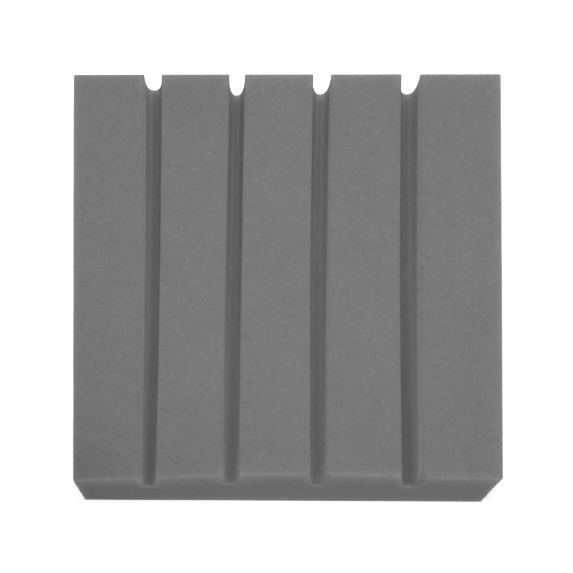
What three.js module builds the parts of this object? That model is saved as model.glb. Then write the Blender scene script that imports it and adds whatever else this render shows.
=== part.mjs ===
// An acoustic foam tile: one block of soft grey open-cell foam. Its face has five flat ribs and four
// round-bottomed grooves, which run out through both ends. The tile lies on its back, which is glued to a
// wall or a ceiling in use: Z is up, the face is on top, and the grooves run along Y. The near end is at
// -Y and the far end at +Y. The origin is the middle of the tile's footprint, on the plane of its back.

import * as THREE from 'three';

// Sizes of the block, in millimetres
const TILE_WIDTH = 304.8;
const TILE_LENGTH = 304.8;
const TILE_THICKNESS = 50.8;

// The long sides slope in from the face to the back
const LEFT_DRAW_IN = 7.9;
const RIGHT_DRAW_IN = 15.2;

// The near end isn't quite square to them: its left corner is set back at the back, and its right one at
// the face. Its upper edge is bowed too, and set back most in the middle of the width.
const NEAR_LEFT_BACK_SETBACK = 2.3;
const NEAR_RIGHT_BACK_SETBACK = 0.1;
const NEAR_RIGHT_FACE_SETBACK = 0.4;
const NEAR_EDGE_BOW = 4.0;

// Roundings of the cut edges. The near end's upper edge is worn, by more in height than along the length.
const SIDE_EDGE_ROUND = 1.0;
const FAR_EDGE_ROUND = 0.6;
const NEAR_EDGE_SETBACK = 0.6;
const NEAR_EDGE_DROP = 10;
const MOUTH_ROUND = 0.6;

// The blade that cuts the grooves is this wide. Each groove wanders a little, as a hand-fed cut does, and
// is deeper at the far end. Its centre is a share of the tile's width, and so is its sway, which its middle
// strays from the straight line between its ends. Its mouth is a share of the blade's width, its depth a
// share of the thickness, and the lean of its floor a share of its depth.
const GROOVE_WIDTH = 12.7;
const GROOVE_SHARES = [
  {
    far: { centre: -0.3144, mouth: 1.06, depth: 0.665, lean: 0.03 },
    near: { centre: -0.326, mouth: 0.92, depth: 0.365, lean: 0.03 },
    sway: 0.003,
  },
  {
    far: { centre: -0.1172, mouth: 0.96, depth: 0.895, lean: -0.01 },
    near: { centre: -0.134, mouth: 1.02, depth: 0.335, lean: 0 },
    sway: -0.0008,
  },
  {
    far: { centre: 0.0817, mouth: 1.08, depth: 0.85, lean: -0.035 },
    near: { centre: 0.0714, mouth: 1.0, depth: 0.405, lean: -0.05 },
    sway: -0.0035,
  },
  {
    far: { centre: 0.2888, mouth: 1.13, depth: 0.85, lean: -0.06 },
    near: { centre: 0.2878, mouth: 1.14, depth: 0.4, lean: -0.1 },
    sway: -0.004,
  },
];

// A groove's section is half an ellipse drawn with this power: 1 is the plain ellipse, and less is a
// squarer shape with steeper walls
const FAR_GROOVE_POWER = 0.88;
const NEAR_GROOVE_POWER = 0.62;

// How finely the curves are drawn
const GROOVE_STEPS = 18;
const MOUTH_STEPS = 3;
const SIDE_EDGE_STEPS = 3;
const END_EDGE_STEPS = 6;
const LENGTH_STEPS = 10;

const FOAM_GREY = 0x7a7a7a;
const FOAM_ROUGHNESS = 1;

const QUARTER_TURN = Math.PI / 2;
const HALF_TURN = Math.PI;

const mix = (near, far, along) => near + (far - near) * along;

// The groove's sizes at a share of the length, from the near end to the far end
function grooveAt(shares, along) {
  const between = (key) => mix(shares.near[key], shares.far[key], along);
  const straying = shares.sway * (1 - (2 * along - 1) ** 2);
  return {
    centre: (between('centre') + straying) * TILE_WIDTH,
    halfWidth: (between('mouth') * GROOVE_WIDTH) / 2 - MOUTH_ROUND,
    depth: between('depth') * TILE_THICKNESS,
    lean: between('lean'),
    power: mix(NEAR_GROOVE_POWER, FAR_GROOVE_POWER, along),
  };
}

// The groove's profile from its right mouth to its left one: a rounded lip, the powered half ellipse and
// a lip. Where the tile's end is rounded the mouth goes down with the face, and the floor stays where it is.
function grooveProfile(groove, faceDrop) {
  const points = [];
  const add = (across, below) => {
    const height = TILE_THICKNESS - mix(faceDrop, groove.depth, below / groove.depth);
    points.push(new THREE.Vector2(groove.centre + across + groove.lean * below, height));
  };
  const lip = (side, turned) => {
    const across = groove.halfWidth + MOUTH_ROUND * (1 - Math.sin(turned));
    add(side * across, MOUTH_ROUND * (1 - Math.cos(turned)));
  };
  for (let step = 0; step < MOUTH_STEPS; step += 1) {
    lip(1, (QUARTER_TURN * step) / MOUTH_STEPS);
  }
  const powered = (value) => Math.sign(value) * Math.abs(value) ** groove.power;
  for (let step = 0; step <= GROOVE_STEPS; step += 1) {
    const turned = (HALF_TURN * step) / GROOVE_STEPS;
    const across = groove.halfWidth * powered(Math.cos(turned));
    add(across, MOUTH_ROUND + (groove.depth - MOUTH_ROUND) * powered(Math.sin(turned)));
  }
  for (let step = MOUTH_STEPS - 1; step >= 0; step -= 1) {
    lip(-1, (QUARTER_TURN * step) / MOUTH_STEPS);
  }
  return points;
}

// The rounded edge between a long side and the face, from the side up to the face
function sideEdge(side, drawIn, faceHeight) {
  const reach = TILE_WIDTH / 2 - drawIn * (1 - faceHeight / TILE_THICKNESS);
  const points = [];
  for (let step = 0; step <= SIDE_EDGE_STEPS; step += 1) {
    const turned = (QUARTER_TURN * step) / SIDE_EDGE_STEPS;
    const inward = SIDE_EDGE_ROUND * (1 - Math.cos(turned));
    const drop = SIDE_EDGE_ROUND * (1 - Math.sin(turned));
    points.push(new THREE.Vector2(side * (reach - inward), faceHeight - drop));
  }
  return points;
}

// The tile's outline across its width: the back, from left to right, then the right edge, the face with
// its grooves and the left edge. The back has a point under the floor of each groove.
function section(along, faceDrop) {
  const faceHeight = TILE_THICKNESS - faceDrop;
  const grooves = GROOVE_SHARES.map((shares) => grooveAt(shares, along));
  const points = [
    new THREE.Vector2(LEFT_DRAW_IN - TILE_WIDTH / 2, 0),
    ...grooves.map((groove) => new THREE.Vector2(groove.centre, 0)),
    new THREE.Vector2(TILE_WIDTH / 2 - RIGHT_DRAW_IN, 0),
    ...sideEdge(1, RIGHT_DRAW_IN, faceHeight),
  ];
  for (const groove of [...grooves].reverse()) {
    points.push(...grooveProfile(groove, faceDrop));
  }
  points.push(...sideEdge(-1, LEFT_DRAW_IN, faceHeight).reverse());
  return points;
}

// The numbers, in a section's outline, of the points round one rib: its share of the back, then its face,
// from the middle of the groove on its right to the middle of the one on its left
function ribOutline(rib, count) {
  const ribs = GROOVE_SHARES.length + 1;
  const profilePoints = GROOVE_STEPS + 1 + 2 * MOUTH_STEPS;
  const face = ribs + 1;
  const grooves = face + SIDE_EDGE_STEPS + 1;
  const middle = (groove) => {
    const first = grooves + (ribs - 2 - groove) * profilePoints;
    return first + MOUTH_STEPS + GROOVE_STEPS / 2;
  };
  const right = rib === ribs - 1 ? face : middle(rib);
  const left = rib === 0 ? count - 1 : middle(rib - 1);
  const outline = [rib, rib + 1];
  for (let point = right; point <= left; point += 1) {
    outline.push(point);
  }
  return outline;
}

// The places of the sections: close together over the rounded ends, evenly spaced between them. An end's
// rounding is a quarter of an ellipse: so far in along the length, and so far down from the face.
function stations() {
  const list = [];
  const rounded = (setback, drop, step) => {
    const turned = (QUARTER_TURN * step) / END_EDGE_STEPS;
    return { inward: setback * (1 - Math.cos(turned)), faceDrop: drop * (1 - Math.sin(turned)) };
  };
  for (let step = 0; step <= END_EDGE_STEPS; step += 1) {
    const { inward, faceDrop } = rounded(NEAR_EDGE_SETBACK, NEAR_EDGE_DROP, step);
    list.push({ y: -TILE_LENGTH / 2 + inward, faceDrop });
  }
  const first = -TILE_LENGTH / 2 + NEAR_EDGE_SETBACK;
  const last = TILE_LENGTH / 2 - FAR_EDGE_ROUND;
  for (let step = 1; step < LENGTH_STEPS; step += 1) {
    list.push({ y: mix(first, last, step / LENGTH_STEPS), faceDrop: 0 });
  }
  for (let step = END_EDGE_STEPS; step >= 0; step -= 1) {
    const { inward, faceDrop } = rounded(FAR_EDGE_ROUND, FAR_EDGE_ROUND, step);
    list.push({ y: TILE_LENGTH / 2 - inward, faceDrop });
  }
  return list;
}

// How far a point is moved in from the near end: by the wall's slope, which ends under the worn edge, and by
// the bow, most where the point is high up and in the middle of the width
function nearInset(x, z, along) {
  const offCentre = x / (TILE_WIDTH / 2);
  const toRight = (1 + offCentre) / 2;
  const atBack = mix(NEAR_LEFT_BACK_SETBACK, NEAR_RIGHT_BACK_SETBACK, toRight);
  const wallHeight = TILE_THICKNESS - NEAR_EDGE_DROP;
  const wall = mix(atBack, NEAR_RIGHT_FACE_SETBACK * toRight, Math.min(z / wallHeight, 1));
  const bow = NEAR_EDGE_BOW * (1 - offCentre ** 2) ** 2 * (z / TILE_THICKNESS);
  return (wall + bow) * (1 - along);
}

// The block is lofted through its sections, and each end is closed rib by rib
function foamPanelGeometry() {
  const positions = [];
  const sections = stations().map(({ y, faceDrop }) => {
    const along = y / TILE_LENGTH + 1 / 2;
    const points = section(along, faceDrop);
    for (const { x, y: z } of points) {
      positions.push(x, y + nearInset(x, z, along), z);
    }
    return points;
  });
  const count = sections[0].length;
  const indices = [];
  for (let row = 0; row + 1 < sections.length; row += 1) {
    for (let column = 0; column < count; column += 1) {
      const here = row * count + column;
      const beside = row * count + ((column + 1) % count);
      indices.push(here, beside + count, beside, here, here + count, beside + count);
    }
  }
  const close = (row, flipped) => {
    for (let rib = 0; rib <= GROOVE_SHARES.length; rib += 1) {
      const outline = ribOutline(rib, count);
      const points = outline.map((point) => sections[row][point]);
      for (const [a, b, c] of THREE.ShapeUtils.triangulateShape(points, [])) {
        const corners = flipped ? [a, c, b] : [a, b, c];
        indices.push(...corners.map((corner) => row * count + outline[corner]));
      }
    }
  };
  close(0, false);
  close(sections.length - 1, true);
  const geometry = new THREE.BufferGeometry();
  geometry.setAttribute('position', new THREE.Float32BufferAttribute(positions, 3));
  geometry.setIndex(indices);
  geometry.computeVertexNormals();
  return geometry;
}

function foamPanel() {
  const foam = new THREE.MeshStandardMaterial({
    color: FOAM_GREY,
    roughness: FOAM_ROUGHNESS,
    metalness: 0,
  });
  const panel = new THREE.Mesh(foamPanelGeometry(), foam);
  panel.name = 'foam_panel';
  return panel;
}

const acousticPanel = new THREE.Group();
acousticPanel.add(foamPanel());

export default acousticPanel;
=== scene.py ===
# %% [markdown]
# # A grooved tile of acoustic foam
# The real thing is one block of grey open-cell foam, a foot square and two inches thick. Its face is cut
# into five flat ribs by four round-bottomed grooves. Its back is glued to a wall, so it has no other parts.
# This lesson takes the tile's exact solid, skins it with a fine mesh, roughens that mesh as a blade leaves
# the cells that it cuts open, and gives it a dry matt foam finish.

# %% Load the solid that everything is built on
import math

import bmesh
import bpy
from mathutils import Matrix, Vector
from mathutils.geometry import intersect_point_line


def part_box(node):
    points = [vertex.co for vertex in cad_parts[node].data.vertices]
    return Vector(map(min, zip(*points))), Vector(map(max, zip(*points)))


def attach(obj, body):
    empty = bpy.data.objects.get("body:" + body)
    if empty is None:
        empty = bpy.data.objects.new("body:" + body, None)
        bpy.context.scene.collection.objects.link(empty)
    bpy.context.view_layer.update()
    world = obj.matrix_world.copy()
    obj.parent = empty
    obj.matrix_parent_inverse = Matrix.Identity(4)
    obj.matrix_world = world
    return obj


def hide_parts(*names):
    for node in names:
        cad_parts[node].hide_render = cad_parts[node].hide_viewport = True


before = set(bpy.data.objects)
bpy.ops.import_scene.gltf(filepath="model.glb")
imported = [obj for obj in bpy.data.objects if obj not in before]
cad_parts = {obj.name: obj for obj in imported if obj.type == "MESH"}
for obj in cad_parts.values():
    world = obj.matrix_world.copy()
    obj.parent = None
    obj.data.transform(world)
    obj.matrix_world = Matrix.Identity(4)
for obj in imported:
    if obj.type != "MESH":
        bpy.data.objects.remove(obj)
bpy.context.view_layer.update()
tile_low, tile_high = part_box("foam_panel")
tile_width = tile_high.x - tile_low.x
tile_length = tile_high.y - tile_low.y
tile_thickness = tile_high.z - tile_low.z
print(f"tile: {tile_width:.4f} x {tile_length:.4f} x {tile_thickness:.4f} m")

# %% [markdown]
# ## The camera
# In the photograph the face is almost a true rectangle: its near and far ends have nearly the same width.
# A long lens far away draws it so; a short lens close above would draw the near end wider. The camera looks
# along the grooves, down on the face from the near end, from a tenth of a degree left of straight on. How
# many pixels a metre of the face takes in the picture sets the lens.

# %% Place the camera
MILLIMETRE = 0.001
PHOTO_SIDE_PX = 573
FACE_PX_PER_METRE = 1407.5
CAMERA_DISTANCE = 15.0
CAMERA_ELEVATION = math.radians(71.2)
CAMERA_TURN = math.radians(0.1)
AIM_LEFT = 0.85 * MILLIMETRE
AIM_NEAR = 7.65 * MILLIMETRE


def place_camera():
    data = bpy.data.cameras.new("long_lens")
    focal_px = FACE_PX_PER_METRE * CAMERA_DISTANCE
    data.lens = focal_px / PHOTO_SIDE_PX * data.sensor_width
    camera = bpy.data.objects.new("long_lens", data)
    bpy.context.scene.collection.objects.link(camera)
    aim = Vector((-AIM_LEFT, -AIM_NEAR, tile_high.z))
    level = Vector((-math.sin(CAMERA_TURN), -math.cos(CAMERA_TURN), 0))
    back = level * math.cos(CAMERA_ELEVATION) + Vector((0, 0, math.sin(CAMERA_ELEVATION)))
    camera.location = aim + back * CAMERA_DISTANCE
    camera.rotation_euler = (-back).to_track_quat("-Z", "Y").to_euler()
    bpy.context.scene.camera = camera
    return camera


camera = place_camera()
print(f"lens {camera.data.lens:.1f} mm from {CAMERA_DISTANCE} m")

# %% [markdown]
# ## Light and floor
# One strong lamp from the side would fill the grooves with hard shadows, so the light is soft and comes
# from above. A pale room does half of the work: an even sky of light reaches every side of the tile. A
# broad lamp far up stands nearly overhead, so that it still looks into all the narrow grooves. Two small
# lamps hang above the left and the right half, and a weak one close over the middle, which makes the outer
# ribs a little darker than the inner ones. Together they light a level surface to about one, so that the
# foam's grey renders about as it is written. The floor is pale, and the eye sees it white but for the
# tile's own shadow.

# %% Helpers that add a node, set its fields and join its inputs


def add_node(tree, kind, inputs=None, **settings):
    """A new node; an input that is a socket is joined, and any other is set."""
    node = tree.nodes.new(kind)
    for field, value in settings.items():
        setattr(node, field, value)
    for socket, value in (inputs or {}).items():
        if isinstance(value, bpy.types.NodeSocket):
            tree.links.new(value, node.inputs[socket])
        else:
            node.inputs[socket].default_value = value
    return node


def math_node(tree, operation, first, second=0.0):
    return add_node(tree, "ShaderNodeMath", {0: first, 1: second}, operation=operation).outputs[0]


def rescaled(tree, value, low, high, new_low, new_high):
    """The value taken from one range to another, and held at the new range's ends."""
    inputs = {"Value": value, "From Min": low, "From Max": high}
    inputs |= {"To Min": new_low, "To Max": new_high}
    return add_node(tree, "ShaderNodeMapRange", inputs).outputs["Result"]


# %% Light the room
WHITE = (1, 1, 1, 1)
SKY_LIGHT = 0.50
HIGH_LAMP_STRENGTH = 1.33
HIGH_LAMP_FROM_FAR = math.radians(4)
HIGH_LAMP_FROM_RIGHT = math.radians(1.5)
HIGH_LAMP_SPREAD = math.radians(24)
CLOSE_LAMPS = (  # places and radii in metres
    {"name": "left_lamp", "place": Vector((-0.06, 0.06, 0.40)), "radius": 0.16, "watts": 0.34},
    {"name": "right_lamp", "place": Vector((0.13, 0.06, 0.40)), "radius": 0.16, "watts": 0.46},
    {"name": "middle_lamp", "place": Vector((0.02, -0.06, 0.25)), "radius": 0.12, "watts": 0.21},
)


def sees_background(tree):
    """1 where the eye, a reflection or clear glass looks straight at the background."""
    ray = add_node(tree, "ShaderNodeLightPath").outputs
    direct = math_node(tree, "MAXIMUM", ray["Is Camera Ray"], ray["Is Glossy Ray"])
    return math_node(tree, "MAXIMUM", direct, ray["Is Transmission Ray"])


def light_room():
    world = bpy.data.worlds.new("pale_room")
    world.use_nodes = True
    tree = world.node_tree
    tree.nodes.clear()
    lit = add_node(tree, "ShaderNodeBackground", {"Color": WHITE, "Strength": SKY_LIGHT})
    seen = add_node(tree, "ShaderNodeBackground", {"Color": WHITE, "Strength": 1.0})
    inputs = {0: sees_background(tree), 1: lit.outputs[0], 2: seen.outputs[0]}
    choice = add_node(tree, "ShaderNodeMixShader", inputs)
    add_node(tree, "ShaderNodeOutputWorld", {"Surface": choice.outputs[0]})
    bpy.context.scene.world = world


def hang_lamp(name, kind, place, **settings):
    data = bpy.data.lights.new(name, kind)
    for field, value in settings.items():
        setattr(data, field, value)
    lamp = bpy.data.objects.new(name, data)
    lamp.location = place
    lamp.visible_camera = False
    bpy.context.scene.collection.objects.link(lamp)
    return lamp


def hang_high_lamp():
    spread = {"angle": HIGH_LAMP_SPREAD, "energy": HIGH_LAMP_STRENGTH}
    lamp = hang_lamp("high_lamp", "SUN", Vector((0, 0, 1)), **spread)
    lamp.rotation_euler = (-HIGH_LAMP_FROM_FAR, HIGH_LAMP_FROM_RIGHT, 0)


def hang_close_lamps():
    for lamp in CLOSE_LAMPS:
        glow = {"shadow_soft_size": lamp["radius"], "energy": lamp["watts"]}
        hang_lamp(lamp["name"], "POINT", lamp["place"], **glow)


light_room()
hang_high_lamp()
hang_close_lamps()
bpy.context.scene.view_settings.view_transform = "Standard"

# %% Lay the floor
CORNER_WAYS = ((-1, -1), (1, -1), (1, 1), (-1, 1))
FLOOR_HALF = 9.0  # metres
FLOOR_COLOUR = (0.8, 0.8, 0.8, 1)
FLOOR_GLOW = 0.6


def lay_floor():
    mesh = bpy.data.meshes.new("floor")
    points = [(right * FLOOR_HALF, far * FLOOR_HALF, 0) for right, far in CORNER_WAYS]
    mesh.from_pydata(points, [], [(0, 1, 2, 3)])
    floor = bpy.data.objects.new("floor", mesh)
    bpy.context.scene.collection.objects.link(floor)
    material = bpy.data.materials.new("pale_floor")
    material.use_nodes = True
    tree = material.node_tree
    shader = tree.nodes["Principled BSDF"]
    shader.inputs["Base Color"].default_value = FLOOR_COLOUR
    shader.inputs["Roughness"].default_value = 1
    shader.inputs["Specular IOR Level"].default_value = 0
    shader.inputs["Emission Color"].default_value = WHITE
    seen = math_node(tree, "MULTIPLY", sees_background(tree), FLOOR_GLOW)
    tree.links.new(seen, shader.inputs["Emission Strength"])
    mesh.materials.append(material)


lay_floor()
print("floor:", 2 * FLOOR_HALF, "m wide")

# %% [markdown]
# ## The foam finish
# Cut foam is a skin of broken cells, each about a millimetre across. From a step away that reads as a fine
# grain with specks, which gather in clusters: bright where a cell's window catches the light, and dark
# where a cell lies open. Mottles a few millimetres wide and broad soft clouds come from the way the block
# was foamed. A picture of foam would show its own repeats on a tile this plain, so the grain is worked out
# from each point's place. How much light or shade is painted on each point is written on the mesh, and the
# finish only reads it. It is all dry and matt, so the shader has hardly any gloss, and light spreads off it
# as off rough cloth.

# %% Scatter the specks
SPECK_SPACING = 2.6 * MILLIMETRE
SPECK_CLUSTER = 9 * MILLIMETRE
SMALLEST_SPECK = 0.15  # radii, as shares of the spacing
LARGEST_SPECK = 0.30
SPECK_CORE = 0.5  # the share of a speck's radius that is at full strength
CLUSTER_RANGE = (0.4, 0.65)  # the part of the noise over which a cluster begins
FEWEST_SPECKS = 0.075  # the share of places that have a speck, away from the clusters
MOST_SPECKS = 0.6  # and inside them


def specks(tree, place, offset):
    """1 on round specks of many sizes, which gather in clusters, and 0 elsewhere."""
    moved = add_node(tree, "ShaderNodeVectorMath", {0: place, 1: offset}, operation="ADD").outputs[0]
    pattern = add_node(tree, "ShaderNodeTexVoronoi", {"Vector": moved, "Scale": 1 / SPECK_SPACING})
    draws = add_node(tree, "ShaderNodeSeparateColor", {0: pattern.outputs["Color"]}).outputs
    grown = math_node(tree, "MULTIPLY", draws[1], draws[1])
    radius = rescaled(tree, grown, 0.0, 1.0, SMALLEST_SPECK, LARGEST_SPECK)
    core = math_node(tree, "MULTIPLY", radius, SPECK_CORE)
    near = rescaled(tree, pattern.outputs["Distance"], core, radius, 1.0, 0.0)
    clusters = add_node(tree, "ShaderNodeTexNoise", {"Vector": moved, "Scale": 1 / SPECK_CLUSTER})
    share = rescaled(tree, clusters.outputs[0], *CLUSTER_RANGE, FEWEST_SPECKS, MOST_SPECKS)
    chosen = math_node(tree, "LESS_THAN", draws[0], share)
    return math_node(tree, "MULTIPLY", near, chosen)


# %% Mix the foam
FOAM_GREY = 0.22
LIGHT_SPECK = 0.34
DARK_SPECK = 0.22
DARK_OFFSET = (0.7, 0.3, 0.5)  # metres, which puts the dark specks in other places
CELL_SIZE = 1.1 * MILLIMETRE
CELL_CONTRAST = 0.18
MOTTLE_SIZE = 4 * MILLIMETRE
MOTTLE_CONTRAST = 0.09
CLOUD_SIZE = 38 * MILLIMETRE
CLOUD_CONTRAST = 0.05
PATCH_RANGE = (0.3, 0.7)  # nearly all of the noise lies in here
PATCH_DETAIL = 3.0


def patches(tree, place, size, contrast):
    """Soft patches, lighter and darker than 1 by half of the contrast."""
    inputs = {"Vector": place, "Scale": 1 / size, "Detail": PATCH_DETAIL}
    noise = add_node(tree, "ShaderNodeTexNoise", inputs).outputs[0]
    return rescaled(tree, noise, *PATCH_RANGE, 1 - contrast / 2, 1 + contrast / 2)


def foam_shade(tree, place):
    """How light or dark the foam is here, about 1."""
    cells = add_node(tree, "ShaderNodeTexVoronoi", {"Vector": place, "Scale": 1 / CELL_SIZE})
    spread = (1 + CELL_CONTRAST / 2, 1 - CELL_CONTRAST / 2)
    cell_shade = rescaled(tree, cells.outputs["Distance"], 0.0, 1.0, *spread)
    cloud_shade = patches(tree, place, CLOUD_SIZE, CLOUD_CONTRAST)
    mottle_shade = patches(tree, place, MOTTLE_SIZE, MOTTLE_CONTRAST)
    # the painted light and painted shade that the tree wrote on the mesh
    painted_here = add_node(tree, "ShaderNodeAttribute", attribute_name="painted_light_shade").outputs["Fac"]
    painted_factor = math_node(tree, "ADD", painted_here, 1.0)
    light = math_node(tree, "MULTIPLY", specks(tree, place, (0.0, 0.0, 0.0)), LIGHT_SPECK)
    dark = math_node(tree, "MULTIPLY", specks(tree, place, DARK_OFFSET), -DARK_SPECK)
    shade = math_node(tree, "MULTIPLY", cell_shade, math_node(tree, "MULTIPLY", cloud_shade, mottle_shade))
    shade = math_node(tree, "MULTIPLY", shade, painted_factor)
    return math_node(tree, "ADD", shade, math_node(tree, "ADD", light, dark))


# %% Set the foam's grey, its fuzz and its lack of gloss
FOAM_GLOSS = 0.15
FUZZ_DETAIL = 2.0
FUZZ_STRENGTH = 0.5
FUZZ_HEIGHT = 0.15 * MILLIMETRE


def foam_finish():
    material = bpy.data.materials.new("open_cell_foam")
    material.use_nodes = True
    tree = material.node_tree
    shader = tree.nodes["Principled BSDF"]
    place = add_node(tree, "ShaderNodeTexCoord").outputs["Object"]
    grey = math_node(tree, "MULTIPLY", foam_shade(tree, place), FOAM_GREY)
    colour = add_node(tree, "ShaderNodeCombineColor", {0: grey, 1: grey, 2: grey})
    tree.links.new(colour.outputs[0], shader.inputs["Base Color"])
    inputs = {"Vector": place, "Scale": 1 / CELL_SIZE, "Detail": FUZZ_DETAIL}
    fuzz = add_node(tree, "ShaderNodeTexNoise", inputs).outputs[0]
    inputs = {"Strength": FUZZ_STRENGTH, "Distance": FUZZ_HEIGHT, "Height": fuzz}
    bump = add_node(tree, "ShaderNodeBump", inputs)
    tree.links.new(bump.outputs[0], shader.inputs["Normal"])
    shader.inputs["Roughness"].default_value = 1.0
    shader.inputs["Specular IOR Level"].default_value = FOAM_GLOSS
    shader.inputs["Diffuse Roughness"].default_value = 1.0
    return material


foam = foam_finish()
print("finish:", foam.name, len(foam.node_tree.nodes), "nodes")

# %% [markdown]
# ## The blank
# The tile's solid is exact but has few, large facets. Cutting those up smaller would keep their long thin
# shapes, which take a rough surface badly. So a copy of the solid, joined up, is given a new even skin of
# small squares by the Remesh modifier, just under a millimetre wide, as fine as the picture can show. The
# Smooth modifier then lets the squares relax, which rounds every cut edge as soft foam rounds it.

# %% Skin the solid
SKIN_STEP = 0.9 * MILLIMETRE
SKIN_RELAX = 2  # times over
SAME_POINT = SKIN_STEP / 100


def foam_blank():
    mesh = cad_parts["foam_panel"].data.copy()
    mesh.materials.clear()
    work = bmesh.new()
    work.from_mesh(mesh)
    bmesh.ops.remove_doubles(work, verts=work.verts, dist=SAME_POINT)
    work.to_mesh(mesh)
    work.free()
    blank = bpy.data.objects.new("foam_tile", mesh)
    bpy.context.scene.collection.objects.link(blank)
    skin = blank.modifiers.new("skin", "REMESH")
    skin.mode = "VOXEL"
    skin.voxel_size = SKIN_STEP
    skin.use_smooth_shade = True
    relax = blank.modifiers.new("relax", "SMOOTH")
    relax.iterations = SKIN_RELAX
    return blank


tile = foam_blank()
print("solid, joined up:", len(tile.data.vertices), "points")

# %% [markdown]
# ## The cut surface
# What a blade leaves on foam follows the whole surface, so Geometry Nodes make it. Moving the points in
# code would do too, but a tree keeps its sizes as named inputs, which can be turned up and down by eye. It
# moves each point of the skin three ways: a slow wander of the cut, a fine roughness of the cells, and
# scattered pits where a cell has torn out. The back is sliced off dead flat, so the tree leaves it alone.

# %% Name the tree's inputs
TREE_INPUTS = {
    "Cell Size": 1.8 * MILLIMETRE,
    "Cell Relief": 0.16 * MILLIMETRE,
    "Pit Spacing": 7.0 * MILLIMETRE,
    "Pit Depth": 0.35 * MILLIMETRE,
    "Wander Size": 45 * MILLIMETRE,
    "Wander": 0.2 * MILLIMETRE,
    "Back Margin": 1.5 * MILLIMETRE,
    "Right From": -35 * MILLIMETRE,
    "Right To": 95 * MILLIMETRE,
    "Lip Round": 1.0,
    "Crisp End": 12 * MILLIMETRE,
    # from here on, the sizes paint light and shade into the foam's colour
    "Edge Light": 0.24,
    "Edge Reach": 14 * MILLIMETRE,
    "Far Light Lean": 0.35,
    "Mouth Shade": -0.14,
    "Rim Light": 0.5,
    "Rim Reach": 9 * MILLIMETRE,
    "Lip Margin": 1.0 * MILLIMETRE,
    "Lip Shade": -0.06,
    "Side Glow": 0.09,
    "Side Glow Reach": 16 * MILLIMETRE,
    "Corner Shade": -0.24,
    "Corner Reach": 130 * MILLIMETRE,
    "Wall Light": 0.1,
    "Wall Top Light": 0.41,
    "Fade Reach": 25 * MILLIMETRE,
    "Foot Light": 0.3,
    "Foot Reach": 16 * MILLIMETRE,
    "Floor End Light": 0.5,
    "Floor End Reach": 9 * MILLIMETRE,
    "Floor Margin": 5.0 * MILLIMETRE,
    "Shallow Shade": -0.14,
    "Deep Light": 0.29,
    "Floor Light Lean": -0.12,
    "Lift From": 18 * MILLIMETRE,
    "Lift To": 42 * MILLIMETRE,
    "Open Floor Shade": -0.05,
}
print("inputs:", len(TREE_INPUTS), "sizes, a seed and a material")

# %% Start the tree


def start_tree():
    tree = bpy.data.node_groups.new("cut_foam_surface", "GeometryNodeTree")
    face = tree.interface
    face.new_socket("Geometry", in_out="INPUT", socket_type="NodeSocketGeometry")
    for name in TREE_INPUTS:
        face.new_socket(name, in_out="INPUT", socket_type="NodeSocketFloat")
    face.new_socket("Seed", in_out="INPUT", socket_type="NodeSocketFloat")
    face.new_socket("Foam", in_out="INPUT", socket_type="NodeSocketMaterial")
    face.new_socket("Geometry", in_out="OUTPUT", socket_type="NodeSocketGeometry")
    return tree


cut_surface = start_tree()
given = add_node(cut_surface, "NodeGroupInput").outputs
place = add_node(cut_surface, "GeometryNodeInputPosition").outputs[0]
normal = add_node(cut_surface, "GeometryNodeInputNormal").outputs[0]
print("tree:", cut_surface.name)

# %% Short names for the tree's sums


def plus(first, second):
    return math_node(cut_surface, "ADD", first, second)


def minus(first, second):
    return math_node(cut_surface, "SUBTRACT", first, second)


def times(first, second):
    return math_node(cut_surface, "MULTIPLY", first, second)


def over(first, second):
    return math_node(cut_surface, "DIVIDE", first, second)


def without_sign(value):
    return math_node(cut_surface, "ABSOLUTE", value)


def ramp(value, low, high, new_low, new_high):
    return rescaled(cut_surface, value, low, high, new_low, new_high)


def split(vector):
    return add_node(cut_surface, "ShaderNodeSeparateXYZ", {0: vector}).outputs


def on_vectors(operation, first, second):
    inputs = {0: first, 1: second}
    return add_node(cut_surface, "ShaderNodeVectorMath", inputs, operation=operation).outputs


def along(vector, amount):
    inputs = {0: vector, "Scale": amount}
    return add_node(cut_surface, "ShaderNodeVectorMath", inputs, operation="SCALE").outputs[0]


# %% Shift the points as the blade and the torn cells do
NOISE_MIDDLE = 0.5  # a noise runs from 0 to 1 about this value
NOISE_SPREAD = 2.0  # which makes a noise about 0 reach 1 either way
WANDER_DETAIL = 1.0
CELL_DETAIL = 2.0
PIT_RADIUS = 0.2  # as a share of the spacing


def spread_noise(size, detail):
    scale = over(1.0, given[size])
    inputs = {"Vector": place, "W": given["Seed"], "Scale": scale, "Detail": detail}
    return add_node(cut_surface, "ShaderNodeTexNoise", inputs, noise_dimensions="4D").outputs


def wander_shift():
    slow = spread_noise("Wander Size", WANDER_DETAIL)["Color"]
    about_nought = on_vectors("SUBTRACT", slow, (NOISE_MIDDLE, NOISE_MIDDLE, NOISE_MIDDLE))[0]
    return along(about_nought, times(given["Wander"], NOISE_SPREAD))


def cell_shift():
    fine = minus(spread_noise("Cell Size", CELL_DETAIL)[0], NOISE_MIDDLE)
    relief = times(fine, times(given["Cell Relief"], NOISE_SPREAD))
    inputs = {"Vector": place, "W": given["Seed"], "Scale": over(1.0, given["Pit Spacing"])}
    pits = add_node(cut_surface, "ShaderNodeTexVoronoi", inputs, voronoi_dimensions="4D")
    pit_shape = ramp(pits.outputs["Distance"], 0.0, PIT_RADIUS, 1.0, 0.0)
    return along(normal, minus(relief, times(pit_shape, given["Pit Depth"])))


cut_shift = on_vectors("ADD", wander_shift(), cell_shift())[0]
print("cut and cells:", len(cut_surface.nodes), "nodes")

# %% [markdown]
# ## The worn lips
# The right lips of the grooves are softer the further right they are, but for their crisp far ends. The
# solid could have that round, but wear isn't even, and a tree can follow it. It moves each point of a lip
# towards the average of its neighbours, which rounds an edge and leaves a flat surface flat.

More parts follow.
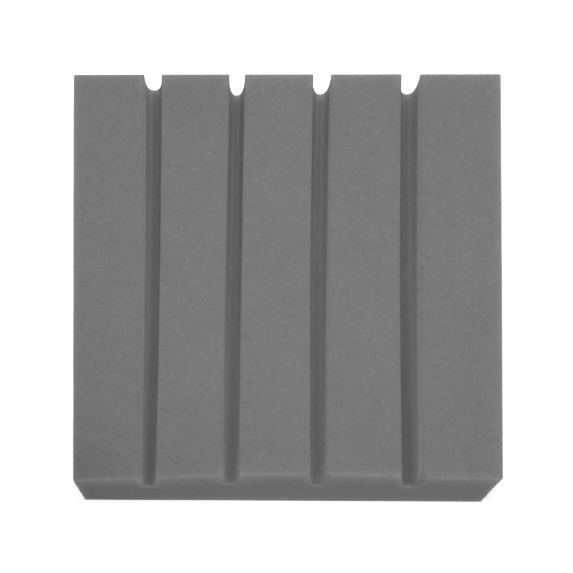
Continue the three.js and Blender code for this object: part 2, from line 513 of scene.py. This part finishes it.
# %% Find the edges, and round the right lips
EDGE_BLUR = 40  # times that a point is averaged with its neighbours
LIP_BLUR = 16
LIP_FULL = 0.5 * MILLIMETRE  # how far a right lip stands to the left of its neighbours' average
CRISP_PARTS = 3.0  # no lip is rounded in the first of so many parts of its crisp end
MARGIN_FADE = 3.0  # what a margin holds back is there in full at so many times the margin


def blurred(blurs):
    inputs = {"Value": place, "Iterations": blurs}
    return add_node(cut_surface, "GeometryNodeBlurAttribute", inputs, data_type="FLOAT_VECTOR").outputs[0]


def lip_rounding():
    """1 on the lips that are rounded most, and 0 off them."""
    on_right_lip = ramp(split(proud)["X"], -LIP_FULL, 0.0, 1.0, 0.0)
    worn_lip = ramp(spot["X"], given["Right From"], given["Right To"], 0.0, given["Lip Round"])
    crisp = given["Crisp End"]
    off_end = ramp(to_far, over(crisp, CRISP_PARTS), crisp, 0.0, 1.0)
    return times(times(on_right_lip, worn_lip), off_end)


def past_margin(distance, margin):
    """0 within a margin, rising to 1 past it."""
    return ramp(distance, margin, times(margin, MARGIN_FADE), 0.0, 1.0)


spot = split(place)
to_far = minus(tile_length / 2, spot["Y"])
proud = on_vectors("SUBTRACT", place, blurred(EDGE_BLUR))[0]
lip_round = lip_rounding()
inward = on_vectors("SUBTRACT", blurred(LIP_BLUR), place)[0]
shift = on_vectors("ADD", cut_shift, along(inward, lip_round))[0]
free = past_margin(spot["Z"], given["Back Margin"])
push = {"Geometry": given["Geometry"], "Offset": along(shift, free)}
moved = add_node(cut_surface, "GeometryNodeSetPosition", push).outputs[0]
print("with the lips:", len(cut_surface.nodes), "nodes")

# %% [markdown]
# ## Painted light and shade
# The tree also writes down how much light or shade is painted on each point, for the finish to read. A
# picture could hold that too, but it would have to be wrapped round every groove, and numbers on the points
# follow the shape by themselves. A point that stands proud of the average of its neighbours is on an edge,
# which gets a painted highlight, most at the ends of the grooves. The lips along the grooves get painted
# shade. Painted light lies along the right and far edges, on the walls near the face and at their foot, and
# on the deepest floors; the shallow floors and the open middle of each floor get painted shade. The near
# left corner is painted darker than the rest.

# %% Measure where each point lies
below = minus(tile_thickness, spot["Z"])
to_side = minus(tile_width / 2, without_sign(spot["X"]))
to_end = minus(tile_length / 2, without_sign(spot["Y"]))
to_right = minus(tile_width / 2, spot["X"])
to_left = plus(spot["X"], tile_width / 2)
to_near = plus(spot["Y"], tile_length / 2)
towards_right = over(spot["X"], tile_width / 2)
towards_far = over(spot["Y"], tile_length / 2)
below_lip = past_margin(below, given["Lip Margin"])
on_floor = past_margin(below, given["Floor Margin"])


def fading(distance, reach):
    """1 at no distance, falling off ever more slowly to 0 at the reach."""
    near = ramp(distance, 0.0, reach, 1.0, 0.0)
    return times(near, near)


print("with the places:", len(cut_surface.nodes), "nodes")

# %% Measure which way each point faces, and how sharp an edge it is on
SIDEWAYS_RANGE = (0.1, 0.5)  # the share of the normal that points left or right
OPEN_RANGE = (0.02, 0.6)  # the share of the normal that points up
EDGE_LIGHT_FULL = 1.5 * MILLIMETRE  # an edge that stands this proud gets the full painted highlight

facing = split(normal)
upright = minus(1.0, facing["Z"])
face_up = math_node(cut_surface, "MAXIMUM", facing["Z"], 0.0)
open_above = ramp(facing["Z"], *OPEN_RANGE, 0.0, 1.0)
edge = ramp(on_vectors("DOT_PRODUCT", proud, normal)["Value"], 0.0, EDGE_LIGHT_FULL, 0.0, 1.0)
edge_reach = given["Edge Reach"]
off_sides = ramp(to_side, over(edge_reach, 2.0), edge_reach, 0.0, 1.0)
in_mouth = times(ramp(without_sign(facing["X"]), *SIDEWAYS_RANGE, 0.0, 1.0), off_sides)
print("with the directions:", len(cut_surface.nodes), "nodes")

# %% Paint light on the edges and shade on the lips


def painted_edge_shading():
    """Painted light along the outline, more to the far end; painted shade at the mouths, light at their
    ends.
    """
    to_outline = math_node(cut_surface, "MINIMUM", to_side, to_end)
    # painted highlight along the outline, stronger towards the far end
    near_outline = ramp(to_outline, over(edge_reach, 2.0), edge_reach, 1.0, 0.0)
    leaning = plus(times(towards_far, given["Far Light Lean"]), 1.0)
    outline_light = times(times(given["Edge Light"], leaning), near_outline)
    # at the mouths the painted edge light turns to painted shade
    strength = ramp(in_mouth, 0.0, 1.0, outline_light, given["Mouth Shade"])
    # painted light round the ends of the grooves, below the lip
    rim = times(fading(to_end, given["Rim Reach"]), given["Rim Light"])
    return times(edge, plus(strength, times(rim, below_lip)))


# painted shade on the rounded right lips
def painted_lip_shade():
    return times(times(lip_round, given["Lip Shade"]), edge)


# %% Paint light along the right and far edges, and shade on the near left corner


# painted light along the right and far edges
def painted_side_glow():
    beside = plus(fading(to_right, given["Side Glow Reach"]), fading(to_far, given["Side Glow Reach"]))
    return times(beside, given["Side Glow"])


# painted shade on the near left corner
def painted_corner_shade():
    reach = given["Corner Reach"]
    return times(times(fading(to_left, reach), fading(to_near, reach)), given["Corner Shade"])


# %% Paint light on the walls, fading from the face down, and at their foot
ROUNDED_LIP_FADE = 0.2  # the share of the fade that is left on a rounded lip


# painted light on the walls, most near the face, and at their foot by the floor
def painted_wall_light():
    fade = times(fading(below, given["Fade Reach"]), given["Wall Top Light"])
    fade = plus(fade, given["Wall Light"])
    fade = times(fade, ramp(in_mouth, 0.0, 1.0, 1.0, below_lip))
    fade = times(fade, ramp(lip_round, 0.0, 1.0, 1.0, ROUNDED_LIP_FADE))
    foot = times(fading(spot["Z"], given["Foot Reach"]), given["Foot Light"])
    return times(plus(fade, foot), upright)


# %% Paint light on the far ends of the floors, and light or shade on the floors by their depth


# painted light on the floors near the far end
def painted_floor_end_light():
    sunk = ramp(below, 0.0, given["Fade Reach"], 0.0, given["Floor End Light"])
    return times(times(fading(to_far, given["Floor End Reach"]), sunk), face_up)


def painted_floor_depth_shading():
    """Painted shade where the grooves are shallow, painted light where deep, and more light to the left."""
    lifts = (given["Shallow Shade"], given["Deep Light"])
    deep = ramp(below, given["Lift From"], given["Lift To"], *lifts)
    deep = plus(deep, times(towards_right, given["Floor Light Lean"]))
    return times(times(deep, on_floor), open_above)


# painted shade on the open middle of the groove floors
def painted_floor_shade():
    return times(times(face_up, on_floor), given["Open Floor Shade"])


# %% Add it all up and end the tree
# the sum of all the painted light and painted shade, kept on the points for the finish
painted_sum = painted_edge_shading()
for part in (painted_side_glow, painted_wall_light, painted_floor_end_light, painted_corner_shade, painted_floor_depth_shading, painted_floor_shade, painted_lip_shade):
    painted_sum = plus(painted_sum, part())
note = {"Geometry": moved, "Name": "painted_light_shade", "Value": painted_sum}
kept = add_node(cut_surface, "GeometryNodeStoreNamedAttribute", note, domain="POINT").outputs[0]
real = add_node(cut_surface, "GeometryNodeRealizeInstances", {0: kept}).outputs[0]
done = add_node(cut_surface, "GeometryNodeSetMaterial", {"Geometry": real, "Material": given["Foam"]})
add_node(cut_surface, "NodeGroupOutput", {"Geometry": done.outputs[0]})
print("cut surface:", len(cut_surface.nodes), "nodes")

# %% Roughen the skin and keep the result as a plain mesh
CUT_SEED = 4.0  # fixed, so that every run gives the same tile


def set_tree_input(modifier, name, value):
    for item in modifier.node_group.interface.items_tree:
        if item.item_type == "SOCKET" and item.in_out == "INPUT" and item.name == name:
            modifier[item.identifier] = value


def bake_modifiers(piece):
    evaluated = piece.evaluated_get(bpy.context.evaluated_depsgraph_get())
    mesh = bpy.data.meshes.new_from_object(evaluated)
    piece.modifiers.clear()
    piece.data = mesh
    mesh.name = piece.name


def roughen(piece):
    cut = piece.modifiers.new("cut_surface", "NODES")
    cut.node_group = cut_surface
    for name, value in TREE_INPUTS.items():
        set_tree_input(cut, name, value)
    set_tree_input(cut, "Seed", CUT_SEED)
    set_tree_input(cut, "Foam", foam)
    bake_modifiers(piece)


roughen(tile)
print("tile:", len(tile.data.vertices), "points,", len(tile.data.polygons), "faces")

# %% [markdown]
# ## The back
# The back is glued down and flat, so its squares say nothing. They are dissolved into one face, which
# keeps the piece light; a cut through the mesh with a new flat cap would give the same. The skin rounds the
# sharp edge of the back unevenly, so the points round it are set on the straight sides of the solid's own
# back, and the edge is shaded sharp.

# %% Flatten the back
BACK_HEIGHT = 0.6 * MILLIMETRE  # points of the skin below this belong to the back
STRAIGHT_DOWN = -0.999  # the height of a normal that points down


def back_corners():
    """The corners of the solid's back, in order round it."""
    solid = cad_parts["foam_panel"].data
    flat = [point.co for point in solid.vertices if point.co.z < BACK_HEIGHT / 10]
    return [max(flat, key=lambda co: co.x * right + co.y * far) for right, far in CORNER_WAYS]


def on_outline(co, corners):
    """The nearest place to a point on the straight sides between the corners."""
    nearest = []
    for start, end in zip(corners, corners[1:] + corners[:1]):
        share = min(max(intersect_point_line(co, start, end)[1], 0), 1)
        nearest.append(start.lerp(end, share))
    return min(nearest, key=lambda place: (place - co).length)


def flatten_back(piece):
    work = bmesh.new()
    work.from_mesh(piece.data)
    for point in work.verts:
        if point.co.z < BACK_HEIGHT:
            point.co.z = 0
    work.normal_update()
    facing_down = [face for face in work.faces if face.normal.z < STRAIGHT_DOWN]
    back = [face for face in facing_down if face.calc_center_median().z < BACK_HEIGHT / 2]
    bmesh.ops.dissolve_faces(work, faces=back, use_verts=False)
    corners = back_corners()
    whole = max(work.faces, key=lambda face: face.calc_area())
    for point in whole.verts:
        point.co = on_outline(point.co, corners)
    for edge in whole.edges:
        edge.smooth = False
    print("back:", len(whole.verts), "points round it")
    work.to_mesh(piece.data)
    work.free()
    piece.data.update()


flatten_back(tile)
print("tile with a plain back:", len(tile.data.polygons), "faces")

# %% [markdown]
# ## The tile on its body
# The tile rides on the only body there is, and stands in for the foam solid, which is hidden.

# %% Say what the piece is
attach(tile, "root")
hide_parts("foam_panel")
print("piece:", tile.name, "in", tile.data.materials[0].name)
